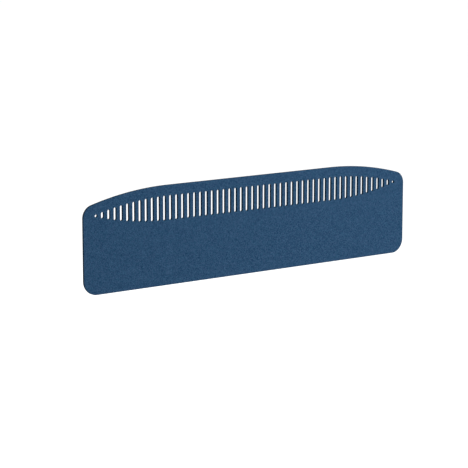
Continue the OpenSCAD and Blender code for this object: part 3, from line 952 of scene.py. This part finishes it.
def pressure_plate(side):
    """The cup under the desktop, with a boss below that turns on the neck of the screw."""
    low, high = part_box(f"{side}_pressure_plate")
    pad_low, pad_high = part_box(f"{side}_pressure_pad")
    centre = middle(low, high)
    cup, seat = (high.x - low.x) / 2, (pad_high.x - pad_low.x) / 2
    floor, boss, bore = pad_low.z - 3 * MM, 7 * MM, NECK + PLAY
    start = (bore, low.z + 1 * MM)
    inside = [(bore, pad_low.z), (seat, pad_low.z), (seat, high.z)]
    outside = [(cup, high.z), (cup, floor), (boss, floor), (boss, low.z), (bore, low.z)]
    radii = [0.2 * MM, 0, 0.5 * MM, 0.7 * MM, 1.6 * MM, 1.2 * MM, 0.7 * MM, 0.3 * MM]
    return on_axis(centre, [turned(rounded([start, *inside, *outside, start], radii), 80)])


def pressure_pad(side):
    """The pad in the cup, with ring grooves on top and a recess below for the end of the screw."""
    low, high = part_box(f"{side}_pressure_pad")
    centre = middle(low, high)
    seat, recess, roof = (high.x - low.x) / 2, 6.5 * MM, low.z + 1.8 * MM
    groove_mouth, groove_floor, groove_depth = 0.7 * MM, 0.2 * MM, 0.6 * MM
    grooves = []
    for r in np.array((12.2, 9.4, 6.6, 3.8)) * MM:
        bottom = high.z - groove_depth
        grooves += [(r + groove_mouth, high.z), (r + groove_floor, bottom)]
        grooves += [(r - groove_floor, bottom), (r - groove_mouth, high.z)]
    below = [(0, roof), (recess, roof), (recess, low.z), (seat, low.z)]
    line = [*below, (seat, high.z), *grooves, (0, high.z)]
    radii = [0, 0, 0.1 * MM, 0.5 * MM] + [0.12 * MM] * len(grooves)
    return on_axis(centre, [turned(rounded(line, radii, 3), 80)])


def retaining_ring(side):
    """The ring in the groove of the screw's neck, which holds the cup on it."""
    low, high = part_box(f"{side}_retaining_ring")
    centre = middle(*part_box(f"{side}_pressure_plate"))
    section = ring(NECK_GROOVE, (high.x - low.x) / 2, low.z, high.z, 0.15 * MM)
    return on_axis(centre, [turned(section, 48)])


def clamp_screw(side, s):
    """The threaded screw, with a turned and grooved neck at its upper end."""
    low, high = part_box(f"{side}_clamp_screw")
    centre = middle(low, high)
    groove_low, groove_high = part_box(f"{side}_retaining_ring")
    neck_float = 0.2 * MM
    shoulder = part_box(f"{side}_pressure_plate")[0].z - neck_float
    root = THREAD - s.thread_depth
    rod = threaded_rod(low.z, shoulder, THREAD, s.thread_pitch, s.thread_depth)
    below = [(root, shoulder), (NECK, shoulder), (NECK, groove_low.z), (NECK_GROOVE, groove_low.z)]
    above = [(NECK_GROOVE, groove_high.z), (NECK, groove_high.z), (NECK, high.z), (0, high.z)]
    neck = turned(rounded(below + above, [0.1 * MM, 0, 0, 0, 0, 0.3 * MM]), 28)
    end = turned(np.array([[0, low.z], [root, low.z]]), 28)
    return on_axis(centre, (end, rod, neck))


def screw_knob(side):
    """The lobed hand knob, moulded round its insert."""
    low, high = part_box(f"{side}_screw_knob")
    bore_low, bore_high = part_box(f"{side}_knob_insert")
    bore, bore_depth = (bore_high.x - bore_low.x) / 2, bore_high.z - bore_low.z
    knob = moved(lobed_knob((high.y - low.y) / 2, high.z - low.z, bore, bore_depth), 0, 0, high.z)
    return on_axis(middle(bore_low, bore_high), [knob])


def knob_insert(side):
    """The threaded insert of the knob."""
    low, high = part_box(f"{side}_knob_insert")
    section = ring(THREAD, (high.x - low.x) / 2, low.z, high.z, 0.35 * MM)
    return on_axis(middle(low, high), [turned(section, 48)])


# ---------------------------------------------------------------- operators


def shared_material(name, make, *args):
    """The material of that name, made on first use."""
    return bpy.data.materials.get(name) or make(*args)


def add_clamp_piece(side, node, grids, material, body):
    """Puts in a piece of one clamp, under the name of its CAD node."""
    name = f"{side}_{node}"
    add_piece(name, grids, material, body, name)


class PRIVACY_OT_board(bpy.types.Operator):
    """Makes the slotted felt board"""

    bl_idname = "privacy.board"
    bl_label = "Felt board"

    def execute(self, context):
        board = Board(context.scene.privacy_board)
        extra = np.array([-board.fall_x, board.fall_x, -board.half / 2, 0, board.half / 2])
        grids = plate(board, [board.slots()], extra, board.y0, board.y1, board.s.edge_round, split=3)
        add_piece("felt_board", flat_plate(grids, 0), felt_finish(board), FRAME_BODY, "felt_panel")
        return {"FINISHED"}


class PRIVACY_OT_plates(bpy.types.Operator):
    """Makes the fixing plates and the bent strips of both clamps"""

    bl_idname = "privacy.plates"
    bl_label = "Plates and strips"

    def execute(self, context):
        s = context.scene.privacy_hardware
        finish = shared_material("powder_coat", powder_finish, s)
        for side in SIDES:
            add_clamp_piece(side, "fixing_plate", fixing_plate(side, s), finish, FRAME_BODY)
            for node in ("clamp_arm", "upper_jaw"):
                strip = bent_strip(side, node, s)
                add_clamp_piece(side, node, strip, finish, FRAME_BODY)
        return {"FINISHED"}


class PRIVACY_OT_fasteners(bpy.types.Operator):
    """Makes the panel screws, the studs with their washers and cap nuts, and the weld nuts"""

    bl_idname = "privacy.fasteners"
    bl_label = "Fasteners"

    def execute(self, context):
        finish = shared_material("zinc_plate", zinc_finish, context.scene.privacy_hardware)
        for side in SIDES:
            for make in (panel_screws, clinch_studs, stud_washers, cap_nuts, weld_nut):
                add_clamp_piece(side, make.__name__, make(side), finish, FRAME_BODY)
        return {"FINISHED"}


class PRIVACY_OT_pads(bpy.types.Operator):
    """Makes the soft pads of the jaws and the spines, with grooves across them"""

    bl_idname = "privacy.pads"
    bl_label = "Soft pads"

    def execute(self, context):
        s = context.scene.privacy_hardware
        finish = shared_material("soft_rubber", rubber_finish, s)
        for side in SIDES:
            for make in (edge_pad, jaw_pad):
                add_clamp_piece(side, make.__name__, make(side, s), finish, FRAME_BODY)
        return {"FINISHED"}


class PRIVACY_OT_feet(bpy.types.Operator):
    """Makes the pressure feet under the desktop: cup, pad and retaining ring"""

    bl_idname = "privacy.feet"
    bl_label = "Pressure feet"

    def execute(self, context):
        s = context.scene.privacy_hardware
        zinc = shared_material("zinc_plate", zinc_finish, s)
        rubber = shared_material("soft_rubber", rubber_finish, s)
        for side in SIDES:
            foot, screw = f"{side}_foot", f"{side}_screw"
            add_clamp_piece(side, "pressure_plate", pressure_plate(side), zinc, foot)
            add_clamp_piece(side, "pressure_pad", pressure_pad(side), rubber, foot)
            add_clamp_piece(side, "retaining_ring", retaining_ring(side), zinc, screw)
        return {"FINISHED"}


class PRIVACY_OT_screws(bpy.types.Operator):
    """Makes the clamp screws: the thread, and the turned neck that holds the foot"""

    bl_idname = "privacy.screws"
    bl_label = "Clamp screws"

    def execute(self, context):
        s = context.scene.privacy_hardware
        finish = shared_material("zinc_plate", zinc_finish, s)
        for side in SIDES:
            add_clamp_piece(side, "clamp_screw", clamp_screw(side, s), finish, f"{side}_screw")
        return {"FINISHED"}


class PRIVACY_OT_knobs(bpy.types.Operator):
    """Makes the lobed hand knobs and their brass inserts"""

    bl_idname = "privacy.knobs"
    bl_label = "Knobs"

    def execute(self, context):
        s = context.scene.privacy_hardware
        plastic = shared_material("grained_plastic", knob_finish, s)
        brass = shared_material("brass", brass_finish, s)
        for side in SIDES:
            add_clamp_piece(side, "screw_knob", screw_knob(side), plastic, f"{side}_screw")
            add_clamp_piece(side, "knob_insert", knob_insert(side), brass, f"{side}_screw")
        return {"FINISHED"}


class PRIVACY_OT_stage(bpy.types.Operator):
    """Makes the floor, the lights and the camera"""

    bl_idname = "privacy.stage"
    bl_label = "Stage"

    def execute(self, context):
        s = context.scene.privacy_stage
        scene = context.scene
        scene.view_settings.view_transform = "Standard"

        half, lines = s.floor_size / 2, 9
        across = np.linspace(-half, half, lines)
        y, x = np.meshgrid(across, across)
        mesh = bpy.data.meshes.new("floor")
        points = np.stack([x, y, np.full(x.shape, s.floor)], axis=-1).reshape(-1, 3)
        mesh.from_pydata(points.tolist(), [], grid_faces(lines, lines, 0)[:, ::-1].tolist())
        floor = bpy.data.objects.new("floor", mesh)
        scene.collection.objects.link(floor)
        shader = Shader("pale_floor")
        grain = shader.noise(shader.place, 3.0, 3.0)
        mesh.materials.append(shader.finish(
            Base_Color=shader.blend(grain, (0.90, 0.90, 0.90), (0.94, 0.94, 0.94)),
            Roughness=0.9,
            Specular_IOR_Level=0.1,
            Emission_Color=(1.0, 1.0, 1.0, 1.0),
            Emission_Strength=s.floor_glow,
        ))

        world = bpy.data.worlds.new("soft_sky")
        world.use_nodes = True
        sky = world.node_tree.nodes["Background"]
        sky.inputs["Color"].default_value = (1.0, 1.0, 1.0, 1.0)
        sky.inputs["Strength"].default_value = s.sky
        scene.world = world

        for name, place, size, power in (
            ("key_light", (2.6, -2.4, 2.6), 1.6, s.key),
            ("front_fill", (-4.5, -3.5, 2.2), 2.5, s.front_fill),
            ("rear_fill", (-2.0, 4.5, 3.0), 3.0, s.rear_fill),
        ):
            lamp = bpy.data.lights.new(name, "AREA")
            lamp.shape, lamp.size, lamp.energy = "DISK", size, power
            light = bpy.data.objects.new(name, lamp)
            light.location = place
            light.rotation_mode = "QUATERNION"
            light.rotation_quaternion = (-light.location).to_track_quat("-Z", "Y")
            scene.collection.objects.link(light)

        lens = bpy.data.cameras.new("camera")
        lens.lens, lens.sensor_width = s.lens, 36.0
        lens.clip_end = 2 * s.floor_size
        camera = bpy.data.objects.new("camera", lens)
        camera.location = s.camera
        camera.rotation_euler = (math.pi / 2 - s.elevation, 0, s.azimuth)
        scene.collection.objects.link(camera)
        scene.camera = camera
        return {"FINISHED"}


class PRIVACY_PT_panel(bpy.types.Panel):
    """Lists the pieces of the privacy panel and their settings"""

    bl_label = "Privacy panel"
    bl_space_type = "VIEW_3D"
    bl_region_type = "UI"
    bl_category = "Privacy Panel"

    def draw(self, context):
        for name in SETTINGS:
            settings = getattr(context.scene, name)
            box = self.layout.box()
            for key in settings.__annotations__:
                box.prop(settings, key)
        for operator in OPERATORS:
            self.layout.operator(operator.bl_idname)


OPERATORS = (
    PRIVACY_OT_stage,
    PRIVACY_OT_board,
    PRIVACY_OT_plates,
    PRIVACY_OT_fasteners,
    PRIVACY_OT_pads,
    PRIVACY_OT_feet,
    PRIVACY_OT_screws,
    PRIVACY_OT_knobs,
)
SETTINGS = {
    "privacy_board": PrivacyBoardSettings,
    "privacy_hardware": PrivacyHardwareSettings,
    "privacy_stage": PrivacyStageSettings,
}


def register():
    for group in SETTINGS.values():
        bpy.utils.register_class(group)
    for name, group in SETTINGS.items():
        setattr(bpy.types.Scene, name, PointerProperty(type=group))
    for operator in (*OPERATORS, PRIVACY_PT_panel):
        bpy.utils.register_class(operator)


def unregister():
    for operator in (PRIVACY_PT_panel, *reversed(OPERATORS)):
        bpy.utils.unregister_class(operator)
    for name in SETTINGS:
        delattr(bpy.types.Scene, name)
    for group in reversed(SETTINGS.values()):
        bpy.utils.unregister_class(group)


def main():
    """Makes every piece in turn."""
    register()
    bpy.ops.privacy.stage()
    bpy.ops.privacy.board()
    bpy.ops.privacy.plates()
    bpy.ops.privacy.fasteners()
    bpy.ops.privacy.pads()
    bpy.ops.privacy.feet()
    bpy.ops.privacy.screws()
    bpy.ops.privacy.knobs()
    bpy.context.view_layer.update()


if __name__ == "__main__":
    main()
